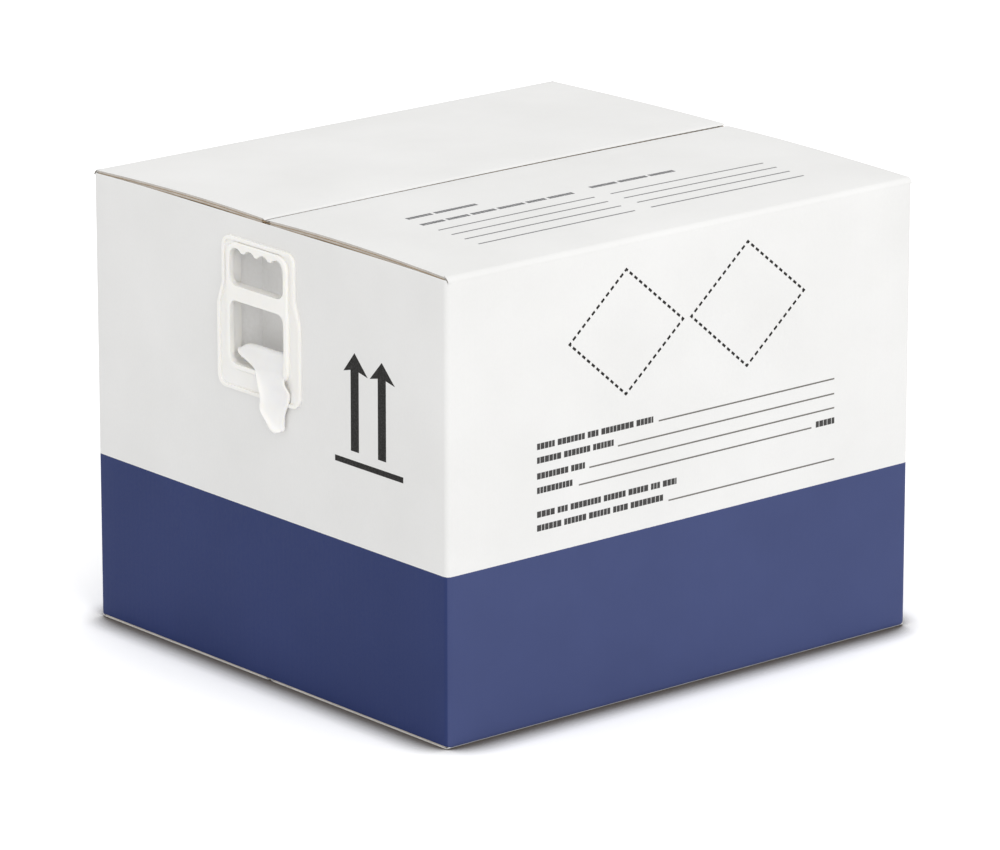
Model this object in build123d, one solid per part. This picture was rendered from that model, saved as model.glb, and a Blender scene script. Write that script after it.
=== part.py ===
from build123d import *
import os
from math import cos, pi, radians, sin, sqrt, tan

# Insulated specimen transport box. Origin at the middle of the base, X along the long printed
# front, Y towards the back, Z up, all in millimetres. The front face looks along -Y.

# ---- carton ----
board = 6.0  # double-wall corrugated board
crease_radius = 4.0  # outside rounding of a folded crease
hinge_gap = 0.3  # between a wall and the flap that opens on it
seam_gap = 2.5  # where two outer flaps meet along the middle
outer_flap_inset = 1.5  # cut ends of the outer flaps, back from the end faces
inner_flap_inset = 1.5  # cut sides of the inner flaps, clear of the long walls
glue_lap_width = 38.0
glue_lap_thickness = 3.0  # crushed board
glue_lap_end_gap = 2.0

# ---- foam box ----
foam_side_gap = 0.5  # beside the glue lap and the handle back plates
foam_headroom = 1.0
foam_wall = 75.0
foam_floor = 75.0
foam_lid_thickness = 75.0
foam_corner_radius = 10.0
cavity_corner_radius = 22.0
cavity_draft = 1.0  # degrees
rim_step_width = 24.0
rim_step_depth = 18.0
rim_step_clearance = 0.8
vent_width = 9.0
vent_depth = 3.5
lid_scoop_radius = 26.0  # thumb scoops in the long sides of the lid
lid_scoop_depth = 13.0

# ---- carry handles ----
grip_width = 84.0
grip_height = 38.0
grip_corner_radius = 10.0
finger_count = 4
finger_depth = 4.0  # of the scallops above the window's flat top
crossbar_height = 15.0
tongue_window_height = 64.0
tongue_window_radius = 9.0
top_rail = 10.0
bottom_rail = 27.0
upper_side_rail = 14.0
lower_side_rail = 22.0
handle_corner_radius = 12.0
handle_top_below_carton_top = 23.0
handle_offset = 7.0  # from the middle of the end wall, towards the back on the left
flange_thickness = 2.2
bead_width = 3.6
bead_height = 3.8
rim_width = 5.5
rim_height = 5.5
rim_edge_cut = 1.2
collar_margin = 2.0  # from the windows to the inside of the collar
collar_wall = 1.8
collar_clearance = 0.5  # to the cut-out in the board
back_plate_thickness = 2.5
back_plate_clearance = 0.4  # to the collar
back_plate_rim = 12.0
back_plate_corner_radius = 3.0
hook_length = 12.0
hook_reach = 1.4
hook_thickness = 2.0
hook_gap = 0.2

# ---- finger pocket in the foam behind each handle ----
pocket_margin = 6.0  # around the collar
pocket_depth = 28.0
pocket_taper = 7.0  # how much each side draws in over the depth

# ---- soft tongue of each handle ----
tongue_side_gap = 7.0  # to each side of the lower window
tongue_top_gap = 8.0  # how much shorter it is than the lower window
tongue_tail_width = 22.0  # of its narrow end
tongue_corner_radius = 7.0
tongue_thickness = 1.6
tongue_bend_radius = 22.0
tongue_start_angle = 50.0  # degrees below level where it leaves the sill
tongue_gap = 0.3

# ---- room for dry ice around the leak-tight container ----
coolant_end_room = 144.9  # from the container's walls to the mouth of the foam base
coolant_side_room = 119.9
coolant_top_room = 155.0  # from the container's lid up to the rim of the foam base

# ---- fibreboard lattice that keeps the container in the middle as the dry ice goes ----
support_board = 4.0
support_height = 98.0
support_clearance = 1.4  # to the container
support_end_gap = 1.0  # to the foam
support_slot_gap = 0.4
support_notch_length = 70.0  # lifting notch in the top edge
support_notch_depth = 16.0

# ---- leak-tight container with a clip-on lid ----
container_wall = 2.6
container_floor = 3.0
container_corner_radius = 8.0
container_lip = 7.0  # flange around the mouth, which the latches pull on
container_lip_height = 3.0
container_lid_height = 3.6
lid_panel_edge = 16.0  # flat border around the lid's raised panel
lid_panel_height = 2.4
gasket_width = 3.6
gasket_height = 2.0
latch_width = 46.0
latch_thickness = 2.2
latch_gap = 0.4  # to the lid and the lip
latch_hook = 3.4  # how far the hook reaches in under the lip
latch_tab = 9.0  # finger tab below the hook

# ---- absorbent pad, rack and specimen tubes ----
tube_columns = 2
tube_rows = 2
tube_pitch = 74.0
rack_edge = 30.0  # from the outer tubes to the rack's sides
rack_clearance = 1.0
rack_height = 62.0
rack_floor = 6.0
pad_thickness = 5.0
tube_radius = 8.3
tube_wall = 1.1
tube_length = 104.0
tube_floor = 2.0
tube_hole_clearance = 0.5
cap_wall = 1.9
cap_height = 15.0
cap_overlap = 11.0
cap_clearance = 0.2
cap_grip_count = 12  # flats round the cap
specimen_headroom = 6.0  # between the caps and the lid

# ---- sizes that follow from the ones above, from the tubes outwards ----
cap_radius = tube_radius + cap_clearance + cap_wall
cap_rise = cap_height - cap_overlap
rack_length = (tube_columns - 1) * tube_pitch + 2 * rack_edge
rack_depth = (tube_rows - 1) * tube_pitch + 2 * rack_edge
container_inner_length = rack_length + 2 * rack_clearance
container_inner_depth = rack_depth + 2 * rack_clearance
container_length = container_inner_length + 2 * container_wall
container_depth = container_inner_depth + 2 * container_wall
container_inner_height = pad_thickness + rack_floor + tube_length + cap_rise + specimen_headroom
container_height = container_floor + container_inner_height
lip_length = container_length + 2 * container_lip
lip_depth = container_depth + 2 * container_lip
lip_corner_radius = container_corner_radius + container_lip
closed_height = container_height + gasket_height + container_lid_height + lid_panel_height

cavity_length = container_length + 2 * coolant_end_room
cavity_depth = container_depth + 2 * coolant_side_room
cavity_height = closed_height + coolant_top_room
foam_length = cavity_length + 2 * foam_wall
foam_depth = cavity_depth + 2 * foam_wall
foam_height = foam_floor + cavity_height + foam_lid_thickness
cavity_draft_reach = cavity_height * tan(radians(cavity_draft))

foam_side_clearance = max(back_plate_thickness, glue_lap_thickness) + foam_side_gap
inner_length = foam_length + 2 * foam_side_clearance
inner_depth = foam_depth + 2 * foam_side_clearance
carton_length = inner_length + 2 * board  # comes to 600
carton_depth = inner_depth + 2 * board  # comes to 550
carton_height = foam_height + foam_headroom + 4 * board  # comes to 466
inner_flap_height = carton_height - 2 * board
flap_length = carton_depth / 2
inner_flap_length = min(carton_depth, carton_length - seam_gap) / 2
middle_height = carton_height / 2

foam_bottom = 2 * board
cavity_level = foam_bottom + foam_floor
rim_level = cavity_level + cavity_height
foam_top = rim_level + foam_lid_thickness
container_top = cavity_level + container_height
lid_underside = container_top + gasket_height
pad_level = cavity_level + container_floor
rack_level = pad_level + pad_thickness
tube_base = rack_level + rack_floor
tube_top = tube_base + tube_length

handle_top = carton_height - handle_top_below_carton_top
grip_top = handle_top - top_rail
grip_bottom = grip_top - grip_height
tongue_window_top = grip_bottom - crossbar_height
sill = tongue_window_top - tongue_window_height
handle_bottom = sill - bottom_rail
windows_height = grip_top - sill
windows_middle = (grip_top + sill) / 2
collar_width = grip_width + 2 * (collar_margin + collar_wall)
collar_height = windows_height + 2 * (collar_margin + collar_wall)
collar_corner_radius = grip_corner_radius + collar_margin + collar_wall
collar_depth = board + back_plate_thickness + hook_gap + hook_thickness
tongue_width = grip_width - 2 * tongue_side_gap
tongue_length = tongue_window_height - tongue_top_gap
tongue_bend = radians(90 - tongue_start_angle)  # from the sill until it hangs straight down
tongue_straight = tongue_length - tongue_bend_radius * tongue_bend
pocket_width = collar_width + 2 * pocket_margin
pocket_height = collar_height + 2 * pocket_margin

# ---- carton panels ----


def creased_shell(height, creases):
    """Hollow block of board, rounded along the creases that run in the given directions."""
    block = Box(carton_length, carton_depth, height)
    edges = [edge for axis in creases for edge in block.edges().filter_by(axis)]
    room = Box(inner_length, inner_depth, height - 2 * board)
    return Pos(0, 0, middle_height) * (fillet(edges, crease_radius) - room)


def kept_side(shape, point, towards):
    """What lies on one side of a plane through a point."""
    return split(shape, bisect_by=Plane(origin=point, z_dir=towards), keep=Keep.TOP)


def mitred(shape, height, facing, edge, gap=0.0):
    """A panel parted from its neighbour at 45 degrees along the crease between them."""
    half = Vector(carton_length / 2, carton_depth / 2, height / 2)
    corner = [half.X * (facing.X + edge.X), half.Y * (facing.Y + edge.Y), half.Z * (facing.Z + edge.Z)]
    point = Vector(*corner) + Vector(0, 0, middle_height) - edge * gap
    return kept_side(shape, point, facing - edge)


front, left, up, right = Vector(0, -1, 0), Vector(-1, 0, 0), Vector(0, 0, 1), Vector(1, 0, 0)
back, down = Vector(0, 1, 0), Vector(0, 0, -1)


def turned(shape):
    """The same piece on the opposite side of the box."""
    return Rot(0, 0, 180) * shape


def upside_down(shape):
    """The matching bottom flap of a top flap."""
    return mirror(shape, Plane.XY.offset(middle_height))


def wall_front_shape():
    """Long front wall: creased top and bottom, mitred into the end walls."""
    wall = creased_shell(carton_height, (Axis.X, Axis.Z))
    for edge in (up, down, left, right):
        wall = mitred(wall, carton_height, front, edge)
    return wall


def wall_left_shape():
    """End wall with the handle's cut-out, one board lower than the long walls at each end."""
    wall = creased_shell(inner_flap_height, (Axis.Y, Axis.Z))
    for edge in (up, down, front, back):
        wall = mitred(wall, inner_flap_height, left, edge)
    outside = Plane.YZ.offset(-carton_length / 2 - board)
    hole = outside * Pos(handle_offset, windows_middle) * collar_sketch(collar_clearance)
    return wall - extrude(hole, 3 * board)


def outer_flap(gap):
    """Outer flap over the whole top, from the front crease to the middle seam."""
    flap = mitred(creased_shell(carton_height, (Axis.X,)), carton_height, up, front, gap)
    flap = kept_side(flap, (0, -carton_depth / 2 + flap_length - seam_gap / 2, 0), front)
    end = carton_length / 2 - outer_flap_inset
    flap = kept_side(kept_side(flap, (end, 0, 0), left), (-end, 0, 0), right)
    return kept_side(flap, (0, 0, carton_height - board), up)


def inner_flap():
    """Inner flap that folds in from the left end, under the outer flaps."""
    flap = mitred(creased_shell(inner_flap_height, (Axis.Y,)), inner_flap_height, up, left)
    flap = kept_side(flap, (-carton_length / 2 + inner_flap_length, 0, 0), left)
    side = inner_depth / 2 - inner_flap_inset
    flap = kept_side(kept_side(flap, (0, side, 0), front), (0, -side, 0), back)
    return kept_side(flap, (0, 0, carton_height - 2 * board), up)


def glue_lap_shape():
    """Lap of the right end wall, glued inside the back wall."""
    height = inner_flap_height - 2 * (board + glue_lap_end_gap)
    lap = Box(glue_lap_width, glue_lap_thickness, height)
    free_edge = lap.edges().filter_by(Axis.Z).group_by(Axis.X)[0].group_by(Axis.Y)[0]
    lap = chamfer(free_edge, glue_lap_thickness * 2 / 3)
    x = inner_length / 2 - glue_lap_width / 2
    y = inner_depth / 2 - glue_lap_thickness / 2
    return Pos(x, y, middle_height) * lap


# ---- carry handle, drawn for the left end ----


def collar_sketch(margin):
    """Outside of the collar, grown by a margin."""
    return RectangleRounded(
        collar_width + 2 * margin, collar_height + 2 * margin, collar_corner_radius + margin
    )


def grip_window():
    """Upper window, with a scallop for each finger in its top edge."""
    flat_height = grip_height - finger_depth
    window = Pos(0, flat_height / 2) * RectangleRounded(grip_width, flat_height, grip_corner_radius)
    pitch = grip_width / finger_count
    radius = pitch / 2
    for finger in range(finger_count):
        offset = (finger - (finger_count - 1) / 2) * pitch
        window += Pos(offset, grip_height - radius) * Circle(radius)
    return Pos(0, grip_bottom) * window


def tongue_window():
    """Lower window, which the soft tongue folds into."""
    window = RectangleRounded(grip_width, tongue_window_height, tongue_window_radius)
    return Pos(0, sill + tongue_window_height / 2) * window


def handle_outline():
    """Outline of the flange, a little wider beside the lower window."""
    upper = grip_width / 2 + upper_side_rail
    lower = grip_width / 2 + lower_side_rail
    shoulder_top = grip_bottom
    shoulder_bottom = tongue_window_top - crossbar_height / 2
    half = [
        (upper, handle_top),
        (upper, shoulder_top),
        (lower, shoulder_bottom),
        (lower, handle_bottom),
    ]
    other_half = [(-y, z) for y, z in reversed(half)]
    outline = make_face(Polyline(*half, *other_half, close=True))
    return fillet(outline.vertices(), handle_corner_radius)


def outward(sketch, height, start=0.0):
    """A sketch on the left end face, raised outwards; start is measured in from the face."""
    plane = Plane(
        origin=(-carton_length / 2 + start, handle_offset, 0), x_dir=(0, -1, 0), z_dir=(-1, 0, 0)
    )
    return extrude(plane * sketch, height + start)


def handle_frame_shape():
    """Flange with its edge bead, raised window rims and crossbar, collar and snap hooks."""
    windows = grip_window() + tongue_window()
    outline = handle_outline()
    frame = outward(outline, flange_thickness)
    frame += outward(outline - offset(outline, -bead_width), bead_height)
    rim = Pos(0, windows_middle) * RectangleRounded(
        grip_width + 2 * rim_width, windows_height + 2 * rim_width, grip_corner_radius + rim_width
    )
    rim_block = outward(rim, rim_height)
    frame += chamfer(rim_block.faces().sort_by(Axis.X)[0].edges(), rim_edge_cut)
    collar = Pos(0, windows_middle) * collar_sketch(0)
    frame += outward(collar, 0.0, start=collar_depth)
    room = Pos(0, windows_middle) * collar_sketch(-collar_wall)
    frame -= outward(room, 0.0, start=collar_depth)
    bar_height = crossbar_height
    bar = Pos(0, grip_bottom - bar_height / 2) * Rectangle(collar_width, bar_height)
    frame += outward(bar, 0.0, start=board)
    frame -= outward(windows, rim_height, start=collar_depth)
    return frame + snap_hooks()


def snap_hooks():
    """Hooks on the collar that hold the back plate from inside."""
    inner_face = -carton_length / 2 + board + back_plate_thickness + hook_gap
    x = inner_face + hook_thickness / 2
    sides = []
    for z_share in (-0.3, 0.3):
        for side in (-1, 1):
            y = handle_offset + side * (collar_width - collar_wall + hook_reach) / 2
            hook = Box(hook_thickness, collar_wall + hook_reach, hook_length)
            sides.append(Pos(x, y, windows_middle + z_share * collar_height) * hook)
    for end in (-1, 1):
        z = windows_middle + end * (collar_height - collar_wall + hook_reach) / 2
        hook = Box(hook_thickness, 2 * hook_length, collar_wall + hook_reach)
        sides.append(Pos(x, handle_offset, z) * hook)
    return sides


def back_plate_shape():
    """Ring behind the board that the frame's hooks clamp on."""
    plate = RectangleRounded(
        collar_width + 2 * back_plate_rim, collar_height + 2 * back_plate_rim, back_plate_corner_radius
    )
    ring = plate - collar_sketch(back_plate_clearance)
    plane = Plane.YZ.offset(-carton_length / 2 + board)
    return extrude(plane * Pos(handle_offset, windows_middle) * ring, back_plate_thickness)


def tongue_hinge():
    """Where the tongue bends, as x and z."""
    clear = (tongue_thickness / 2 + tongue_gap) / sqrt(2)
    return -carton_length / 2 - rim_height - clear, sill + clear


def tongue_shape():
    """Soft tongue, bent out of the lower window and down, with a narrow end to one side."""
    x, z = tongue_hinge()
    start = radians(tongue_start_angle)
    centre_x = x + tongue_bend_radius * sin(start)
    centre_z = z - tongue_bend_radius * cos(start)
    ring = Circle(tongue_bend_radius + tongue_thickness / 2)
    ring -= Circle(tongue_bend_radius - tongue_thickness / 2)
    far = 2 * tongue_bend_radius
    steps = [pi - tongue_bend, pi - tongue_bend / 2, pi]
    wedge = Polygon((0, 0), *[(far * cos(a), far * sin(a)) for a in steps], align=None)
    straight = Pos(-tongue_bend_radius, -tongue_straight / 2)
    section = (ring & wedge) + straight * Rectangle(tongue_thickness, tongue_straight)
    strip = across_xz(Pos(centre_x, centre_z) * section, tongue_width)
    tip = centre_z - tongue_straight
    height = z + tongue_thickness - tip
    outline = Rectangle(tongue_width, height)
    outline -= Pos(-tongue_width / 2, -height / 2) * Circle(tongue_width - tongue_tail_width)
    outline = fillet(outline.vertices().sort_by(Axis.Y)[:2], tongue_corner_radius)
    silhouette = outward(Pos(0, tip + height / 2) * outline, 2 * far)
    return Pos(0, handle_offset, 0) * strip & silhouette


def across_xz(sketch, width):
    """A section drawn in the XZ plane, stretched equally both ways along Y."""
    return extrude(Plane.XZ * sketch, width / 2, both=True)


# ---- foam box ----


def rounded_block(length, depth, radius, low, high):
    """Upright block with rounded corners between two levels."""
    return extrude(Pos(0, 0, low) * RectangleRounded(length, depth, radius), high - low)


def finger_pocket():
    """Tapered hollow in the foam behind the left handle."""
    mouth = RectangleRounded(pocket_width, pocket_height, collar_corner_radius)
    back = RectangleRounded(
        pocket_width - 2 * pocket_taper,
        pocket_height - 2 * pocket_taper,
        collar_corner_radius - pocket_taper / 2,
    )
    face = -foam_length / 2
    sections = [
        Plane.YZ.offset(face) * Pos(handle_offset, windows_middle) * mouth,
        Plane.YZ.offset(face + pocket_depth) * Pos(handle_offset, windows_middle) * back,
    ]
    return loft(sections)


def foam_base_shape():
    """Moulded foam base: drafted cavity, stepped rim, vents and finger pockets."""
    base = rounded_block(foam_length, foam_depth, foam_corner_radius, foam_bottom, rim_level)
    mouth = Pos(0, 0, rim_level) * RectangleRounded(cavity_length, cavity_depth, cavity_corner_radius)
    base -= extrude(mouth, cavity_level - rim_level, taper=cavity_draft)
    step = rounded_block(
        cavity_length + 2 * rim_step_width,
        cavity_depth + 2 * rim_step_width,
        cavity_corner_radius,
        rim_level - rim_step_depth,
        rim_level,
    )
    base -= step
    vent = Box(foam_length + board, vent_width, 2 * vent_depth)
    for side in (-1, 1):
        base -= Pos(0, side * cavity_depth / 4, rim_level) * vent
    return base - finger_pocket() - turned(finger_pocket())


def foam_lid_shape():
    """Foam lid with its plug, finger pockets and two thumb scoops."""
    lid = rounded_block(foam_length, foam_depth, foam_corner_radius, rim_level, foam_top)
    gap = 2 * rim_step_clearance
    lid += rounded_block(
        cavity_length + 2 * rim_step_width - gap,
        cavity_depth + 2 * rim_step_width - gap,
        cavity_corner_radius - rim_step_clearance,
        rim_level - rim_step_depth + rim_step_clearance,
        rim_level,
    )
    scoop = Cylinder(lid_scoop_radius, 2 * lid_scoop_depth)
    for side in (-1, 1):
        lid -= Pos(0, side * foam_depth / 2, rim_level) * scoop
    return lid - finger_pocket() - turned(finger_pocket())


# ---- fibreboard lattice ----


def support_panel(length, crossing, slots_up):
    """Upright panel along X, slotted for the two panels that cross it."""
    panel = Box(length, support_board, support_height)
    slot_width = support_board + support_slot_gap
    slot = Box(slot_width, 2 * support_board, support_height / 2 + support_slot_gap / 2)
    slot_level = (support_height - slot.bounding_box().size.Z) / 2
    for side in (-1, 1):
        panel -= Pos(side * crossing, 0, slot_level if slots_up else -slot_level) * slot
    notch = Box(support_notch_length, 2 * support_board, 2 * support_notch_depth)
    panel -= Pos(0, 0, support_height / 2) * notch
    return Pos(0, 0, cavity_level + support_height / 2) * panel


def support_place(container_size):
    """Middle plane of a panel beside the container."""
    return container_size / 2 + support_clearance + support_board / 2


def support_front_shape():
    """Panel in front of the container, as long as the cavity's floor."""
    length = cavity_length - 2 * (cavity_draft_reach + support_end_gap)
    panel = support_panel(length, support_place(container_length), True)
    return Pos(0, -support_place(container_depth), 0) * panel


def support_left_shape():
    """Panel across the cavity at the left of the container."""
    length = cavity_depth - 2 * (cavity_draft_reach + support_end_gap)
    panel = support_panel(length, support_place(container_depth), False)
    return Pos(-support_place(container_length), 0, 0) * Rot(0, 0, 90) * panel


# ---- leak-tight container ----


def container_shape():
    """Rigid tub with a flange around its mouth."""
    radius = container_corner_radius
    tub = rounded_block(container_length, container_depth, radius, cavity_level, container_top)
    lip_level = container_top - container_lip_height
    tub += rounded_block(lip_length, lip_depth, lip_corner_radius, lip_level, container_top)
    return tub - rounded_block(
        container_inner_length,
        container_inner_depth,
        radius - container_wall,
        pad_level,
        container_top,
    )


def container_lid_shape():
    """Flat lid with a raised panel."""
    top = lid_underside + container_lid_height
    lid = rounded_block(lip_length, lip_depth, lip_corner_radius, lid_underside, top)
    return lid + rounded_block(
        lip_length - 2 * lid_panel_edge,
        lip_depth - 2 * lid_panel_edge,
        container_corner_radius,
        top,
        top + lid_panel_height,
    )


def gasket_shape():
    """Flat seal between the flange and the lid."""
    inside = container_corner_radius
    outer = RectangleRounded(
        container_length + 2 * gasket_width, container_depth + 2 * gasket_width, inside + gasket_width
    )
    ring = outer - RectangleRounded(container_length, container_depth, inside)
    return extrude(Pos(0, 0, container_top) * ring, gasket_height)


def latch_shape(reach):
    """Clip on the right-hand side of a lid that reaches so far out: plate, hook and finger tab."""
    plate_inner = reach + latch_gap
    plate_outer = plate_inner + latch_thickness
    hook_inner = plate_inner - latch_hook
    lid_top_level = lid_underside + container_lid_height
    hook_top = container_top - container_lip_height - latch_gap
    hook_low = hook_top - latch_thickness
    tab_low = hook_low - latch_tab
    section = Polygon(
        (plate_inner, lid_top_level),
        (plate_inner, hook_top),
        (hook_inner, hook_top),
        (plate_inner, hook_low),
        (plate_inner, tab_low + latch_tab / 2),
        (plate_outer, tab_low),
        (plate_outer + latch_thickness, tab_low),
        (plate_outer, tab_low + latch_tab / 2),
        (plate_outer, lid_top_level),
        align=None,
    )
    return across_xz(section, latch_width)


# ---- absorbent pad, rack and tubes ----


def pad_shape():
    """Absorbent pad on the container's floor."""
    radius = container_corner_radius - container_wall
    return rounded_block(rack_length, rack_depth, radius, pad_level, rack_level)


def tube_places():
    """The middle of each tube in the rack."""
    return list(GridLocations(tube_pitch, tube_pitch, tube_columns, tube_rows))


def rack_shape():
    """Foam rack with a hole for each tube."""
    radius = container_corner_radius - container_wall
    rack = rounded_block(rack_length, rack_depth, radius, rack_level, rack_level + rack_height)
    for place in tube_places():
        hole = Circle(tube_radius + tube_hole_clearance)
        rack -= extrude(Pos(0, 0, tube_base) * (place * hole), rack_height)
    return rack


def tube_shape():
    """Flat-bottomed specimen tube."""
    tube = extrude(Pos(0, 0, tube_base) * Circle(tube_radius), tube_length)
    bore = Pos(0, 0, tube_base + tube_floor) * Circle(tube_radius - tube_wall)
    return tube - extrude(bore, tube_length)


def cap_shape():
    """Screw cap over the mouth of a tube, with flats to grip."""
    low = Pos(0, 0, tube_top - cap_overlap)
    cap = extrude(low * RegularPolygon(cap_radius, cap_grip_count), cap_height)
    return cap - extrude(low * Circle(tube_radius + cap_clearance), cap_overlap)


def group(shape):
    """The same piece at every place of the rack."""
    return Compound([(place * shape).solid() for place in tube_places()])


# ---- every node, written one to a file ----

top_flap = outer_flap(hinge_gap)
bottom_flap = upside_down(outer_flap(0))
end_flap = inner_flap()
front_wall = wall_front_shape()
end_wall = wall_left_shape()
handle_frame = handle_frame_shape()
back_plate = back_plate_shape()
tongue = tongue_shape()
support_front = support_front_shape()
support_left = support_left_shape()
end_latch = latch_shape(lip_length / 2)
side_latch = Rot(0, 0, 90) * latch_shape(lip_depth / 2)

pieces = {
    "wall_front": front_wall,
    "wall_back": turned(front_wall),
    "wall_left": end_wall,
    "wall_right": turned(end_wall),
    "glue_lap": glue_lap_shape(),
    "top_outer_flap_front": top_flap,
    "top_outer_flap_back": turned(top_flap),
    "top_inner_flap_left": end_flap,
    "top_inner_flap_right": turned(end_flap),
    "bottom_outer_flap_front": bottom_flap,
    "bottom_outer_flap_back": turned(bottom_flap),
    "bottom_inner_flap_left": upside_down(end_flap),
    "bottom_inner_flap_right": turned(upside_down(end_flap)),
    "handle_frame_left": handle_frame,
    "handle_frame_right": turned(handle_frame),
    "handle_back_plate_left": back_plate,
    "handle_back_plate_right": turned(back_plate),
    "handle_tongue_left": tongue,
    "handle_tongue_right": turned(tongue),
    "foam_base": foam_base_shape(),
    "foam_lid": foam_lid_shape(),
    "support_front": support_front,
    "support_back": turned(support_front),
    "support_left": support_left,
    "support_right": turned(support_left),
    "container": container_shape(),
    "container_lid": container_lid_shape(),
    "container_gasket": gasket_shape(),
    "latch_right": end_latch,
    "latch_left": turned(end_latch),
    "latch_back": side_latch,
    "latch_front": turned(side_latch),
    "absorbent_pad": pad_shape(),
    "tube_rack": rack_shape(),
    "specimen_tubes": group(tube_shape()),
    "tube_caps": group(cap_shape()),
}

os.makedirs("parts", exist_ok=True)
for name, shape in pieces.items():
    export_step(shape, f"parts/{name}.step")
print(len(pieces), "nodes written")
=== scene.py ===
import math
import random

import bmesh
import bpy
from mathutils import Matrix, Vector


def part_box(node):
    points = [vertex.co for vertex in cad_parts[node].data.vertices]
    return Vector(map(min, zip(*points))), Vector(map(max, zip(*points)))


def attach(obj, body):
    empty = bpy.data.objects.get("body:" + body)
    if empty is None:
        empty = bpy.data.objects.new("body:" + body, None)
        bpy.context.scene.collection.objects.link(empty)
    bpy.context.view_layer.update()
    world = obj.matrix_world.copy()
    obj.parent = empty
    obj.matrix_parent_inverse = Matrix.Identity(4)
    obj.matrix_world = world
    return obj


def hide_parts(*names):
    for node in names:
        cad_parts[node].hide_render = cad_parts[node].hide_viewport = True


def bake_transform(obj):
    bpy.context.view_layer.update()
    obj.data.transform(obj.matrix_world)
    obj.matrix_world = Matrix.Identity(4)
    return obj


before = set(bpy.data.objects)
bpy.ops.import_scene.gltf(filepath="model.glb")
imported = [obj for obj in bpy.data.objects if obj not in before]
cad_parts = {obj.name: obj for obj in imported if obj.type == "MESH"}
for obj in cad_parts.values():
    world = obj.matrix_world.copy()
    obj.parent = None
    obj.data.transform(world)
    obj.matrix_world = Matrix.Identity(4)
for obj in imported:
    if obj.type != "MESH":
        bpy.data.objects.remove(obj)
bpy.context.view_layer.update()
mm = 0.001
joinedPoints = 0.002 * mm  # points nearer than this are one


def addObject(name, data):
    made = bpy.data.objects.new(name, data)
    bpy.context.collection.objects.link(made)
    return made


def addNode(tree, kind, inputs=None, **settings):
    # inputs by name or number, each a value or another node's socket
    made = tree.nodes.new(kind)
    for key, value in settings.items():
        setattr(made, key, value)
    for key, value in (inputs or {}).items():
        if isinstance(value, bpy.types.NodeSocket):
            tree.links.new(value, made.inputs[key])
        else:
            made.inputs[key].default_value = value
    return made


class Heap:
    # gathers points and faces of one mesh
    def __init__(self):
        self.points = []
        self.faces = []
        self.finish = []

    def grid(self, rows, finish=0, closed=False):
        # rows of points, every row of the same length
        start, count = len(self.points), len(rows[0])
        self.points += [Vector(p) for row in rows for p in row]
        for row in range(len(rows) - 1):
            a, b = start + row * count, start + (row + 1) * count
            for c in range(count if closed else count - 1):
                d = (c + 1) % count
                self.faces.append((a + c, a + d, b + d, b + c))
                self.finish.append(finish)

    def tube(self, loops, finish=0):
        # closed solid through a list of closed loops, capped at both ends
        start, size = len(self.points), len(loops[0])
        self.grid(loops, finish, closed=True)
        last = len(self.points) - size
        self.faces += [tuple(range(start + size - 1, start - 1, -1)), tuple(range(last, last + size))]
        self.finish += [finish, finish]

    def shell(self, upper, lower, finish=0):
        # closed solid between two grids of the same size
        for rows in (upper, lower, [upper[0], lower[0]], [upper[-1], lower[-1]]):
            self.grid(rows, finish)
        for end in (0, -1):
            self.grid([[row[end] for row in upper], [row[end] for row in lower]], finish)

    def piece(self, name, finishes, body="carton", smoothAngle=35):
        mesh = bpy.data.meshes.new(name)
        mesh.from_pydata([tuple(p) for p in self.points], [], self.faces)
        for finish in finishes:
            mesh.materials.append(finish)
        mesh.polygons.foreach_set("material_index", self.finish)
        mesh.validate()
        piece = addObject(name, mesh)
        work = bmesh.new()
        work.from_mesh(mesh)
        bmesh.ops.remove_doubles(work, verts=work.verts, dist=joinedPoints)
        bmesh.ops.recalc_face_normals(work, faces=work.faces)
        for face in work.faces:
            face.smooth = True
        for edge in work.edges:
            if len(edge.link_faces) == 2:
                edge.smooth = edge.calc_face_angle(0) < math.radians(smoothAngle)
        work.to_mesh(mesh)
        work.free()
        if body:
            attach(piece, body)
        return piece


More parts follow.
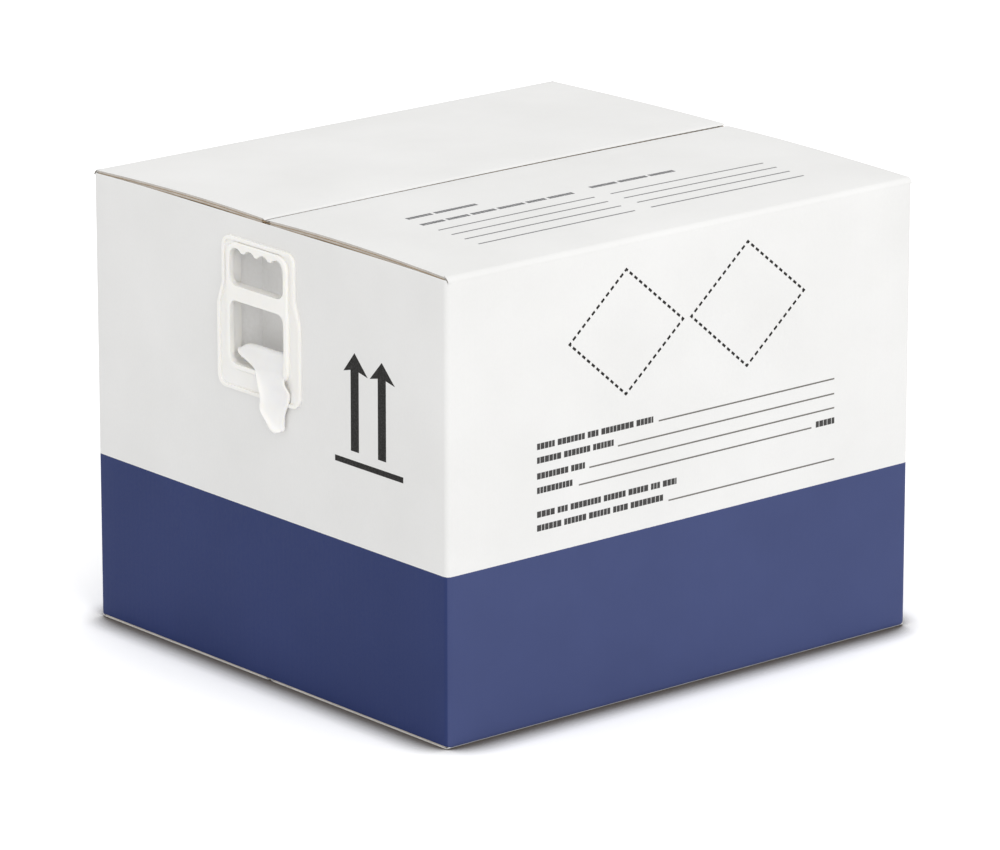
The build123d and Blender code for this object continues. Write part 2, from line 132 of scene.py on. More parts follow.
class Paint:
    # one material and its node tree, with the object's own coordinates
    def __init__(self, name, colour, roughness):
        self.material = bpy.data.materials.new(name)
        self.material.use_nodes = True
        self.tree = self.material.node_tree
        self.shader = self.tree.nodes["Principled BSDF"]
        self.set("Base Color", (*colour, 1))
        self.set("Roughness", roughness)
        self.place = self.node("ShaderNodeTexCoord").outputs["Object"]

    def node(self, kind, inputs=None, **settings):
        return addNode(self.tree, kind, inputs, **settings)

    def set(self, socket, value):
        if isinstance(value, bpy.types.NodeSocket):
            self.tree.links.new(value, self.shader.inputs[socket])
        else:
            self.shader.inputs[socket].default_value = value

    def noise(self, scale, detail=3.0, stretch=(1, 1, 1)):
        moved = self.node("ShaderNodeMapping", {"Vector": self.place, "Scale": stretch})
        inputs = {"Vector": moved.outputs[0], "Scale": scale, "Detail": detail}
        return self.node("ShaderNodeTexNoise", inputs).outputs["Fac"]

    def math(self, operation, a, b=0.0):
        return self.node("ShaderNodeMath", {0: a, 1: b}, operation=operation).outputs[0]

    def weigh(self, a, b, share):
        # a and b added up, with a's share of the whole
        return self.math("ADD", self.math("MULTIPLY", a, share), self.math("MULTIPLY", b, 1 - share))

    def spread(self, value, low, high, start=0.0, end=1.0):
        inputs = {"Value": value, "From Min": low, "From Max": high, "To Min": start, "To Max": end}
        return self.node("ShaderNodeMapRange", inputs).outputs[0]

    def mix(self, share, a, b):
        a, b = ((*tone, 1) if isinstance(tone, tuple) else tone for tone in (a, b))
        return self.node("ShaderNodeMix", {0: share, 6: a, 7: b}, data_type="RGBA").outputs[2]

    def bump(self, height, distance, strength, below=None):
        inputs = {"Height": height, "Distance": distance, "Strength": strength}
        if below is not None:
            inputs["Normal"] = below
        return self.node("ShaderNodeBump", inputs).outputs[0]


boardLook = {
    "white": (0.845, 0.842, 0.832),
    "whiteShade": (0.80, 0.797, 0.785),
    "kraft": (0.50, 0.36, 0.22),
    "kraftShade": (0.45, 0.32, 0.193),
    # the navy is one ink in two copies: lighter on the long walls, a painted sheen, and darker on the end
    # walls, painted shade
    "navy": (0.051, 0.069, 0.183),
    "navyShade": (0.044, 0.060, 0.163),
    "paintedShadeEndNavy": (0.021, 0.036, 0.134),
    "endNavyShade": (0.016, 0.030, 0.118),
    "endShadeStart": 298.5 * mm,  # distance from the middle at which the end panels' darker ink starts, painted shade on the end walls
    "bandTop": 172.4 * mm,
    "bandFray": 0.5 * mm,  # how uneven the band's edge is
    "flutePeriod": 7.5 * mm,
    "fluteDepth": 0.020 * mm,  # how far the flutes show through the liner
    "fibreDepth": 0.035 * mm,
    "cockle": 0.9 * mm,  # slow waves of the liner
    "core": (0.59, 0.55, 0.50),
    "corePale": (0.65, 0.61, 0.56),
    "coreShade": (0.51, 0.475, 0.43),
    "coreDepth": 0.12 * mm,
}


def paperFinish(name, tone, fluteAlong, band=False):
    look = boardLook
    paint = Paint(name, look[tone], roughness=0.62)
    mottle = paint.noise(scale=9.0, detail=4.0)
    fibre = paint.noise(scale=850.0, stretch=(1, 1, 0.35))
    share = paint.spread(paint.weigh(mottle, fibre, 0.7), 0.35, 0.68)
    colour = paint.mix(share, look[f"{tone}Shade"], look[tone])
    # the flutes show faintly through the liner
    along = paint.node("ShaderNodeVectorMath", {0: paint.place, 1: fluteAlong}, operation="DOT_PRODUCT")
    turns = paint.math("MULTIPLY", along.outputs["Value"], 2 * math.pi / look["flutePeriod"])
    uneven = paint.spread(paint.noise(scale=28.0, detail=2.0), 0.3, 0.7, 0.2, 1.0)
    wave = paint.math("MULTIPLY", paint.math("SINE", turns), uneven)
    if band:
        axes = paint.node("ShaderNodeSeparateXYZ", {0: paint.place})
        fray = paint.math("MULTIPLY", paint.math("SUBTRACT", fibre, 0.5), look["bandFray"])
        below = paint.math("LESS_THAN", paint.math("ADD", axes.outputs["Z"], fray), look["bandTop"])
        # painted shade and sheen: a darker copy of the navy ink on the end walls and a lighter one on the
        # long walls
        onShadedEnd = paint.math("GREATER_THAN", paint.math("ABSOLUTE", axes.outputs["X"]), look["endShadeStart"])
        litLongInk = paint.mix(share, look["navyShade"], look["navy"])
        shadedEndInk = paint.mix(share, look["endNavyShade"], look["paintedShadeEndNavy"])
        colour = paint.mix(below, colour, paint.mix(onShadedEnd, litLongInk, shadedEndInk))
    paint.set("Base Color", colour)
    paint.set("Roughness", paint.spread(fibre, 0.3, 0.7, 0.56, 0.70))
    paint.set("Specular IOR Level", 0.25)
    cockled = paint.bump(paint.noise(scale=14.0, detail=2.0), look["cockle"], strength=0.55)
    fluted = paint.bump(wave, look["fluteDepth"], strength=1.0, below=cockled)
    paint.set("Normal", paint.bump(fibre, look["fibreDepth"], strength=0.8, below=fluted))
    return paint.material


def coreFinish():
    look = boardLook
    paint = Paint("boardCore", look["core"], roughness=0.85)
    grain = paint.noise(scale=700.0, detail=4.0)
    streak = paint.noise(scale=60.0, stretch=(1, 1, 3))
    share = paint.spread(paint.weigh(grain, streak, 0.4), 0.3, 0.7)
    paint.set("Base Color", paint.mix(share, look["coreShade"], look["corePale"]))
    paint.set("Normal", paint.bump(grain, look["coreDepth"], strength=0.6))
    return paint.material


def inkFinish(name, colour):
    paint = Paint(name, colour, roughness=0.55)
    speck = paint.noise(scale=900.0)
    pale = tuple(c + (0.80 - c) * 0.05 for c in colour)  # a little of the white board
    paint.set("Base Color", paint.mix(paint.spread(speck, 0.45, 0.75), colour, pale))
    paint.set("Specular IOR Level", 0.12)
    paint.set("Normal", paint.bump(speck, 0.01 * mm, strength=0.5))
    return paint.material


def plasticFinish(name, colour, shade, roughness, glow=0.0, clear=0.0):
    paint = Paint(name, colour, roughness)
    drift = paint.noise(scale=30.0, stretch=(1, 1, 0.4))
    fine = paint.noise(scale=420.0, detail=2.0)
    paint.set("Base Color", paint.mix(paint.spread(drift, 0.32, 0.68), shade, colour))
    paint.set("Roughness", paint.spread(fine, 0.3, 0.7, roughness - 0.05, roughness + 0.08))
    if glow:
        paint.set("Subsurface Weight", glow)
        paint.set("Subsurface Radius", (1.0, 0.9, 0.7))
        paint.set("Subsurface Scale", 3.0 * mm)
    if clear:
        paint.set("Transmission Weight", clear)
        paint.set("IOR", 1.46)
    ripple = paint.bump(drift, 0.15 * mm, strength=0.4)
    paint.set("Normal", paint.bump(fine, 0.02 * mm, strength=0.5, below=ripple))
    return paint.material


def beadFoamFinish(name, colour, shade, beadSize):
    paint = Paint(name, colour, roughness=0.7)
    beads = paint.node(
        "ShaderNodeTexVoronoi", {"Vector": paint.place, "Scale": 1.0 / beadSize, "Randomness": 0.9}
    )
    distance = paint.spread(beads.outputs["Distance"], 0.0, 0.75)
    tint = paint.node("ShaderNodeSeparateColor", {0: beads.outputs["Color"]}).outputs[0]
    pale = paint.mix(paint.math("MULTIPLY", tint, 0.35), colour, shade)
    paint.set("Base Color", paint.mix(paint.math("POWER", distance, 4.0), pale, shade))
    bulge = paint.math("SUBTRACT", 1.0, paint.math("POWER", distance, 2.0))
    paint.set("Normal", paint.bump(bulge, 0.20 * mm, strength=0.4))
    return paint.material


def fibreFinish(name, colour, shade):
    paint = Paint(name, colour, roughness=0.9)
    loose = paint.noise(scale=240.0, detail=5.0, stretch=(1, 1.6, 1))
    fine = paint.noise(scale=1100.0)
    both = paint.weigh(loose, fine, 0.6)
    paint.set("Base Color", paint.mix(paint.spread(both, 0.35, 0.65), shade, colour))
    paint.set("Sheen Weight", 0.25)
    paint.set("Normal", paint.bump(both, 0.35 * mm, strength=0.8))
    return paint.material


def rubberFinish():
    paint = Paint("gasketRubber", (0.028, 0.028, 0.030), roughness=0.75)
    bloom = paint.spread(paint.noise(scale=90.0, detail=4.0), 0.4, 0.7)
    fine = paint.noise(scale=1200.0, detail=2.0)
    paint.set("Base Color", paint.mix(bloom, (0.022, 0.022, 0.024), (0.060, 0.060, 0.062)))
    paint.set("Normal", paint.bump(fine, 0.03 * mm, strength=0.7))
    return paint.material


wallLiner = paperFinish("wallLiner", "white", (1, 1, 0), band=True)
flapLiner = paperFinish("flapLiner", "white", (1, 0, 0))
endFlapLiner = paperFinish("endFlapLiner", "white", (0, 1, 0))
insideLiner = paperFinish("insideLiner", "kraft", (1, 1, 0))
supportLiner = paperFinish("supportLiner", "kraft", (1, 1, 0))
boardCore = coreFinish()
blackInk = inkFinish("blackInk", (0.012, 0.011, 0.010))
darkGreyInk = inkFinish("darkGreyInk", (0.055, 0.053, 0.052))
ruleInk = inkFinish("ruleInk", (0.175, 0.167, 0.152))
greyInk = inkFinish("greyInk", (0.17, 0.17, 0.175))
handlePlastic = plasticFinish("handlePlastic", (0.945, 0.927, 0.89), (0.92, 0.90, 0.86), 0.42, glow=0.4)
tonguePlastic = plasticFinish("tonguePlastic", (0.985, 0.952, 0.90), (0.96, 0.922, 0.865), 0.36, glow=0.6)
mouldedFoam = beadFoamFinish("mouldedFoam", (0.975, 0.972, 0.965), (0.945, 0.94, 0.93), 4.2 * mm)
containerPlastic = plasticFinish(
    "containerPlastic", (0.62, 0.67, 0.70), (0.56, 0.61, 0.65), 0.33, glow=0.2, clear=0.25
)
lidPlastic = plasticFinish("lidPlastic", (0.74, 0.77, 0.78), (0.68, 0.71, 0.73), 0.33, glow=0.2)
latchPlastic = plasticFinish("latchPlastic", (0.030, 0.062, 0.20), (0.022, 0.048, 0.16), 0.36)
gasketRubber = rubberFinish()
padFibre = fibreFinish("padFibre", (0.84, 0.83, 0.80), (0.72, 0.71, 0.68))
rackFoam = beadFoamFinish("rackFoam", (0.55, 0.58, 0.61), (0.42, 0.45, 0.48), 1.4 * mm)
tubePlastic = plasticFinish("tubePlastic", (0.82, 0.86, 0.88), (0.76, 0.80, 0.83), 0.2, clear=0.75)
capPlastic = plasticFinish("capPlastic", (0.20, 0.045, 0.17), (0.15, 0.03, 0.13), 0.38)
print("finishes made")


cameraView = {
    "place": (-4.07496, -4.82056, 2.04203),
    "turn": 49.81,  # degrees from +X towards +Y
    "down": 16.22,
    "lens": 236.09,
    "sensor": 36.0,
    "clipEnd": 100.0,
}


def makeCamera(view):
    data = bpy.data.cameras.new("camera")
    camera = addObject("camera", data)
    turn, down = math.radians(view["turn"]), math.radians(view["down"])
    ahead = Vector((math.cos(turn) * math.cos(down), math.sin(turn) * math.cos(down), -math.sin(down)))
    camera.rotation_mode = "QUATERNION"
    camera.rotation_quaternion = ahead.to_track_quat("-Z", "Y")
    camera.location = view["place"]
    data.lens = view["lens"]
    data.sensor_width = view["sensor"]
    data.clip_end = view["clipEnd"]
    bpy.context.scene.camera = camera


light = {
    # each lamp's direction, strength and width in degrees, wide for soft shadows
    "lamps": (("keyLamp", (-0.02, -0.82, 0.57), 0.66, 40), ("sideLamp", (-0.45, -0.84, 0.30), 0.27, 22)),
    "room": 0.875,
    "floorReach": 60.0,  # from the middle, out of sight
    "floorColour": (0.84, 0.84, 0.84),
    "floorSeen": (1.32, 1.32, 1.32),  # as the camera sees it, so that all but the shadow is white
    "paintedShadow": (0.13, 0.115, 0.105),  # colour of the painted contact shadow beside the carton's foot
    "contactReach": 50.0 * mm,
    "contactOpen": (0.53, 0.90),  # how open a place is where the shade is full and where it ends
}


def makeLight(settings):
    for name, towards, strength, width in settings["lamps"]:
        data = bpy.data.lights.new(name, "SUN")
        data.energy = strength
        data.angle = math.radians(width)
        lamp = addObject(name, data)
        lamp.rotation_mode = "QUATERNION"
        lamp.rotation_quaternion = Vector(towards).to_track_quat("Z", "Y")
    world = bpy.data.worlds.new("room")
    bpy.context.scene.world = world
    world.use_nodes = True
    tree = world.node_tree
    tree.nodes.clear()
    path = addNode(tree, "ShaderNodeLightPath").outputs
    direct = {0: path["Is Camera Ray"], 1: path["Is Glossy Ray"]}
    direct = addNode(tree, "ShaderNodeMath", direct, operation="MAXIMUM")
    seen = {0: direct.outputs[0], 1: path["Is Transmission Ray"]}
    seen = addNode(tree, "ShaderNodeMath", seen, operation="MAXIMUM")
    soft = addNode(tree, "ShaderNodeBackground", {"Color": (1, 1, 1, 1), "Strength": settings["room"]})
    white = addNode(tree, "ShaderNodeBackground", {"Color": (1, 1, 1, 1)})
    shown = {0: seen.outputs[0], 1: soft.outputs[0], 2: white.outputs[0]}
    mixed = addNode(tree, "ShaderNodeMixShader", shown)
    addNode(tree, "ShaderNodeOutputWorld", {"Surface": mixed.outputs[0]})


def makeFloor(settings):
    r = settings["floorReach"]
    mesh = bpy.data.meshes.new("floor")
    mesh.from_pydata([(-r, -r, 0), (r, -r, 0), (r, r, 0), (-r, r, 0)], [], [(0, 1, 2, 3)])
    floor = addObject("floor", mesh)
    paint = Paint("floorPaint", settings["floorColour"], roughness=0.9)
    paint.set("Specular IOR Level", 0.0)
    path = paint.node("ShaderNodeLightPath")
    seen = paint.math("MAXIMUM", path.outputs["Is Camera Ray"], path.outputs["Is Glossy Ray"])
    seen = paint.math("MAXIMUM", seen, path.outputs["Is Transmission Ray"])
    # painted contact shadow: dark right beside what stands on it, from the floor's ambient occlusion as
    # the camera sees it
    around = paint.node("ShaderNodeAmbientOcclusion", {"Distance": settings["contactReach"]}, samples=16)
    share = paint.spread(around.outputs["AO"], *settings["contactOpen"])
    shown = paint.mix(share, settings["paintedShadow"], settings["floorSeen"])
    matte = paint.node("ShaderNodeBsdfDiffuse", {"Color": paint.mix(seen, settings["floorColour"], shown)})
    paint.tree.links.new(matte.outputs[0], paint.tree.nodes["Material Output"].inputs["Surface"])
    mesh.materials.append(paint.material)


makeCamera(cameraView)
makeLight(light)
makeFloor(light)
bpy.context.scene.view_settings.view_transform = "Standard"
print("camera, light and floor made")


carton = {
    "halfLength": -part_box("wall_left")[0].x,
    "halfDepth": -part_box("wall_front")[0].y,
    "height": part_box("top_outer_flap_front")[1].z,
    "board": 6.0 * mm,
    "creaseRadius": 6.0 * mm,
    "foldRadius": 2.0 * mm,  # of the end walls' top and bottom, scored hard
    "liner": 0.45 * mm,
    "cell": 25.0 * mm,  # size of the mesh cells in the walls
    "arcStep": 15,  # degrees between the mesh rows round a crease
    "flat": (12.0 * mm, 16.0 * mm),  # where the walls' plain rows start and end, from bottom and top
    "holeRim": 11.0 * mm,  # from the handle's back plate's edge in to the cut-out
    "swell": 0.7 * mm,  # how far the middle of a wall bows out
    "footInset": 2.4 * mm,  # end wall's bottom above the floor
    "topInset": (3.0 * mm, 1.2 * mm, 1.4 * mm),  # at the corners, half way and at the seam
    "crown": (4.5 * mm, 4.0 * mm),  # how far the closed top bows up, at the left and right ends
    "crownTurn": (0.78, 0.55),  # at the same ends, half turns of the bow from crease to seam
    "crownMiddle": 2.0 * mm,  # how much more it bows half way along
    "crownStart": 20.0 * mm,  # flat beside the crease for the bow to grow from
    "seamStep": (0.65 * mm, 1.5 * mm),  # at both ends, how far the front flap lies below the back one
    "seamFall": 4,  # above 1, so that the front flap dips mostly beside the seam
    "cornerFall": 0.6,  # below 1, so that an end wall's top fold drops fast beside the corners
}


def spaced(low, high, step, extra=()):
    # even places from low to high, with some places forced in
    marks = sorted({low, high, *extra})
    places = []
    for a, b in zip(marks, marks[1:]):
        count = max(1, round((b - a) / step))
        places += [a + (b - a) * i / count for i in range(count)]
    return places + [marks[-1]]


def within(share):
    return min(max(share, 0.0), 1.0)


def bow(share):
    # 0 at both ends and 1 in the middle
    return math.sin(math.pi * within(share))


def eased(share):
    # from 0 to 1 with a soft start and end
    share = within(share)
    return share * share * (3 - 2 * share)


def between(pair, share):
    return pair[0] + (pair[1] - pair[0]) * share


def atAngle(angle):
    return Vector((math.cos(angle), math.sin(angle)))


def crown(x, y):
    # how far the top's outside bows up above its corners
    c = carton
    inward = c["halfDepth"] - abs(y)
    along = within(x / (2 * c["halfLength"]) + 0.5)
    rise = between(c["crown"], along) + c["crownMiddle"] * bow(along)
    turn = between(c["crownTurn"], along)
    step = between(c["seamStep"], along) if y < 0 else 0.0
    lift = rise * math.sin(math.pi * turn * inward / c["halfDepth"]) * eased(inward / c["crownStart"])
    return lift - step * (inward / c["halfDepth"]) ** c["seamFall"]


def endInset(c, y):
    # how far an end wall's top fold lies below the outer flaps' outside
    corner, widest, seam = c["topInset"]
    share = min(abs(y) / c["halfDepth"], 1.0)
    if share < 0.5:
        return seam + (widest - seam) * math.sin(math.pi * share)
    return corner + (widest - corner) * math.sin(math.pi * share) ** c["cornerFall"]


def wallStations(c, holeHalf, holeShift):
    # places round the carton: outside point, inside point, kind of wall (0 long, 1 end),
    # outward direction, and share of the wall's full bow
    x, y, r, t = c["halfLength"], c["halfDepth"], c["creaseRadius"], c["board"]
    stations = []

    def straight(start, end, out, kind, extra=()):
        a, b = Vector(start), Vector(end)
        length = (b - a).length
        for d in spaced(0.0, length, c["cell"], extra)[1:-1]:
            p = a + (b - a) * (d / length)
            q = p - out * t
            q.x = min(max(q.x, t - x), x - t)
            q.y = min(max(q.y, t - y), y - t)
            stations.append((p, q, kind, out, bow(d / length)))

    def corner(cx, cy, begin, fromKind, toKind):
        for angle in range(0, 91, c["arcStep"]):
            out = atAngle(math.radians(begin + angle))
            p = Vector((cx, cy)) + out * r
            q = Vector((math.copysign(x - t, cx), math.copysign(y - t, cy)))
            stations.append((p, q, toKind if angle > 45 else fromKind, out, 0.0))

    hole = [y - r - holeShift - holeHalf, y - r - holeShift + holeHalf]
    straight((r - x, -y), (x - r, -y), Vector((0, -1)), 0)
    corner(x - r, r - y, -90, 0, 1)
    straight((x, r - y), (x, y - r), Vector((1, 0)), 1, hole)
    corner(x - r, y - r, 0, 1, 0)
    straight((x - r, y), (r - x, y), Vector((0, 1)), 0)
    corner(r - x, y - r, 90, 0, 1)
    straight((-x, y - r), (-x, r - y), Vector((-1, 0)), 1, hole)
    corner(r - x, r - y, 180, 1, 0)
    return stations


def makeWalls(c):
    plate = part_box("handle_back_plate_left")
    rim = c["holeRim"]
    holeHalf = (plate[1].y - plate[0].y) / 2 - rim
    holeShift = (plate[1].y + plate[0].y) / 2  # towards the back at the left end
    holeLow, holeHigh = plate[0].z + rim, plate[1].z - rim
    stations = wallStations(c, holeHalf, holeShift)
    r, t, top = c["creaseRadius"], c["board"], c["height"]
    middle = spaced(c["flat"][0], top - c["flat"][1], c["cell"], (holeLow, holeHigh))
    arcs = range(0, 46, c["arcStep"])  # degrees, from the wall's face to half way round its fold
    heap = Heap()

    def level(row, kind, y):
        # height and inward shift of one mesh row, on a long wall (0) or an end wall (1)
        turn = c["foldRadius"] if kind else r
        if row < len(arcs):
            angle = math.radians(arcs[-1 - row])
            foot = kind * c["footInset"]
            return foot + turn - turn * math.sin(angle), turn * (1 - math.cos(angle))
        row -= len(arcs)
        if row < len(middle):
            return middle[row], 0.0
        angle = math.radians(arcs[row - len(middle)])
        inset = endInset(c, y) if kind else 0.0
        return top - inset - turn + turn * math.sin(angle), turn * (1 - math.cos(angle))

    levels = 2 * len(arcs) + len(middle)
    outer, inner = [], []
    for j in range(levels):
        outerRow, innerRow = [], []
        for p, q, kind, out, bowed in stations:
            z, shift = level(j, kind, p.y)
            spot = p - out * shift + out * (c["swell"] * bowed * bow(z / top))
            outerRow.append(Vector((spot.x, spot.y, z)))
            innerRow.append(Vector((q.x, q.y, min(max(z, kind * t + t), top - kind * t - t))))
        outer.append(outerRow)
        inner.append(innerRow)
    count = len(stations)

    def isHole(j, i):
        spot = (outer[j][i] + outer[j + 1][(i + 1) % count]) / 2
        across = abs(spot.y + math.copysign(holeShift, spot.x))
        return across < holeHalf and holeLow < spot.z < holeHigh

    heap.points = [p for row in outer + inner for p in row]
    deep = levels * count
    for j in range(levels - 1):
        for i in range(count):
            k = (i + 1) % count
            a, b, d, e = j * count + i, j * count + k, (j + 1) * count + k, (j + 1) * count + i
            if isHole(j, i):
                continue
            heap.faces += [(a, b, d, e), (deep + a, deep + e, deep + d, deep + b)]
            heap.finish += [0, 1]
            for (m, n), (oj, oi) in (
                ((a, b), (j - 1, i)),
                ((e, d), (j + 1, i)),
                ((a, e), (j, (i - 1) % count)),
                ((b, d), (j, k)),
            ):
                if 0 <= oj < levels - 1 and isHole(oj, oi):
                    heap.faces.append((m, n, deep + n, deep + m))
                    heap.finish.append(2)
    last = (levels - 1) * count
    for i in range(count):
        k = (i + 1) % count
        heap.faces += [(i, k, deep + k, deep + i), (last + i, last + k, deep + last + k, deep + last + i)]
        heap.finish += [2, 0]
    walls = heap.piece("cartonWalls", [wallLiner, insideLiner, boardCore])
    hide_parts("wall_front", "wall_back", "wall_left", "wall_right")


makeWalls(carton)
print("walls made")


flap = {
    "middleLiner": (3.05 * mm, 0.35 * mm),  # depth below the outside, and thickness
    "middleCrush": 0.5,  # the middle liner is crushed this much as far as the outer one
    "sideRecess": 0.5 * mm,  # how far the core lies back from the cut sides
    "sideJog": 0.2 * mm,  # how unevenly the knife leaves it there
    "coreStep": 9.0 * mm,
    "grow": 0.5 * mm,  # how far the crushed free edge spreads into the seam
    "edgeDip": 1.3 * mm,  # crushed by the knife along the free edge
    "sideDip": 0.35 * mm,  # and along the two cut sides
    "edgeWidth": 4.5 * mm,
    "fluteDepth": 6.0 * mm,  # how deep the open flutes are modelled
    "fluteThickness": 0.30 * mm,
    "fluteBack": 0.5 * mm,  # how far the flutes lie back from the free edge
    "fluteLean": (0.12, 11),  # how far they lean by turns, and how slowly, in periods
    "coarsePeriod": 7.6 * mm,
    "finePeriod": 6.2 * mm,
    "stepsPerFlute": 8,
    "sag": 0.8 * mm,  # how far the free edge's middle sags
}


def flapDepth(u, v, width, reach, settings):
    # depth of a flap's outside below its flat place: crease rounding, crushed edges and a slight sag
    r, edge = carton["creaseRadius"], settings["edgeWidth"]
    depth = r - math.sqrt(max(0.0, r * r - (r - v) ** 2)) if v < r else 0.0
    for near, dip in ((width / 2 - abs(u), settings["sideDip"]), (reach - v, settings["edgeDip"])):
        if near < edge:
            depth += dip * (1 - near / edge) ** 2
    return depth + settings["sag"] * (v / reach) ** 2 * bow((u + width / 2) / width)


def makeFlap(level, kind, side, body, place, width, reach, settings, seed):
    # place(u, v, w) gives the point u along the crease, v from the wall's outside and w below the surface
    c = carton
    r, t = c["creaseRadius"], c["board"]
    half = width / 2
    chance = random.Random(seed)
    heap = Heap()
    edge = settings["edgeWidth"]
    us = spaced(-half, half, c["cell"], (-half + edge, -half + edge / 2, half - edge / 2, half - edge))

    def surface(u, v):
        return flapDepth(u, v, width, reach, settings)

    def addSheet(vs, top, thickness, finish, crush):
        # one liner as a thin closed sheet, top measured down from the outside
        sheet = [[(u, v, surface(u, v) * crush + top) for u in us] for v in vs]
        upper = [[place(*spot) for spot in row] for row in sheet]
        lower = [[place(u, v, w + thickness) for u, v, w in row] for row in sheet]
        heap.shell(upper, lower, finish)

    vs = [r * (1 - math.cos(math.radians(angle))) for angle in range(45, 90, c["arcStep"])]
    vs += spaced(r, reach, c["cell"], (reach - edge, reach - edge / 2))
    deepVs = [t] + [v for v in vs if v > t]
    low, thin = settings["middleLiner"]
    addSheet(vs, 0.0, c["liner"], 0, 1.0)
    addSheet(deepVs, low, thin, 1, settings["middleCrush"])
    addSheet(deepVs, t - c["liner"], c["liner"], 1, 0.0)

    # the two cores: solid towards the crease, open flutes at the free edge
    inner = half - settings["sideRecess"]
    back = reach - settings["fluteDepth"]
    uneven = settings["sideJog"]
    coreUs = spaced(-inner, inner, c["cell"])
    coreVs = spaced(t, back, settings["coreStep"])
    for high, bottom, period, crush in (
        (c["liner"], low, settings["coarsePeriod"], 1.0),
        (low + thin, t - c["liner"], settings["finePeriod"], settings["middleCrush"]),
    ):
        def topOf(u, v, high=high, crush=crush):
            return surface(u, v) * crush + high

        upper, lower = [], []
        for v in coreVs:
            jog = {side: chance.uniform(-uneven, uneven) for side in (coreUs[0], coreUs[-1])}
            upper.append([place(u + jog.get(u, 0.0), v, topOf(u, v)) for u in coreUs])
            lower.append([place(u + jog.get(u, 0.0), v, bottom) for u in coreUs])
        heap.shell(upper, lower, 2)
        addFlutes(heap, place, topOf, bottom, inner, (back, reach), period, settings, chance)
    liner = flapLiner if kind == "outer" else endFlapLiner
    name = f"{level}{kind.title()}Flap{side.title()}"
    made = heap.piece(name, [liner, insideLiner, boardCore], body)
    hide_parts(f"{level}_{kind}_flap_{side}")


def addFlutes(heap, place, topOf, bottom, inner, ends, period, settings, chance):
    # a wavy ribbon between two liners, seen end on along the free edge
    thick = settings["fluteThickness"]
    count = round(2 * inner / period) * settings["stepsPerFlute"]
    near, far = (end - settings["fluteBack"] for end in ends)
    phase = chance.uniform(0, 2 * math.pi)
    leanShare, leanPeriods = settings["fluteLean"]
    loops = []
    for i in range(count + 1):
        u = -inner + 2 * inner * i / count
        lean = leanShare * period * math.sin(2 * math.pi * u / (leanPeriods * period) + phase)
        wave = 0.5 - 0.5 * math.cos(2 * math.pi * (u + lean) / period + phase)
        loop = []
        for v, side in ((near, 0), (far, 0), (far, 1), (near, 1)):
            top = topOf(u, v)
            loop.append(place(u, v, top + (bottom - top - thick) * wave + side * thick))
        loops.append(loop)
    heap.tube(loops, 2)


def makeFlaps(c, settings):
    x, y, h, t = c["halfLength"], c["halfDepth"], c["height"], c["board"]
    front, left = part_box("top_outer_flap_front"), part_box("top_inner_flap_left")
    outerSize = front[1].x - front[0].x, front[1].y + y + settings["grow"]
    innerSize = left[1].y - left[0].y, left[1].x + x
    number = 0
    for level, base, sign in (("top", h, -1), ("bottom", 0.0, 1)):
        for side, s in (("front", -1), ("back", 1)):
            def outerPlace(u, v, w, s=s, base=base, sign=sign):
                rise = crown(-s * u, s * (y - v)) if sign < 0 else 0.0
                return Vector((-s * u, s * (y - v), base + sign * w + rise))
            body = f"flap_{side}" if level == "top" else "carton"
            makeFlap(level, "outer", side, body, outerPlace, *outerSize, settings, number)
            number += 1
        for side, s in (("left", -1), ("right", 1)):
            def innerPlace(u, v, w, s=s, base=base, sign=sign):
                return Vector((s * (x - v), s * u, base + sign * (t + w)))
            makeFlap(level, "inner", side, "carton", innerPlace, *innerSize, settings, number)
            number += 1


makeFlaps(carton, flap)
print("flaps made")


crease = {
    "overlap": 5.0 * mm,  # its edges on the wall and on the flap, from the sharp corner
    "proud": 0.06 * mm,  # over the liners on both sides
    "thickness": 2.4 * mm,
    "sideClear": 0.2 * mm,  # shorter than the flap by this at both ends
}


def makeCreases(c, settings):
    r, y, h = c["creaseRadius"], c["halfDepth"], c["height"]
    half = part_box("top_outer_flap_front")[1].x - settings["sideClear"]
    section = [(0.0, settings["overlap"])]
    for angle in range(0, 91, c["arcStep"]):
        turned = math.radians(angle)
        section.append((r - r * math.cos(turned), r - r * math.sin(turned)))
    section += [(settings["overlap"], 0.0)]
    for side, s in (("front", -1), ("back", 1)):
        loops = []
        for x in spaced(-half, half, 2 * c["cell"]):
            loop = []
            for inward in (-settings["proud"], settings["thickness"]):
                ring = []
                for v, w in section:
                    kept = 1 - inward / math.hypot(r - v, r - w)
                    v, w = r - (r - v) * kept, r - (r - w) * kept
                    ring.append(Vector((x, s * (y - v), h - w)))
                loop += ring if inward < 0 else ring[::-1]
            loops.append(loop)
        heap = Heap()
        heap.tube(loops)
        heap.finish[-2:] = [1, 1]  # its two cut ends
        name = f"creaseLiner{side.title()}"
        piece = heap.piece(name, [flapLiner, boardCore], None)
        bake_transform(piece)


makeCreases(carton, crease)
print("crease liners made")


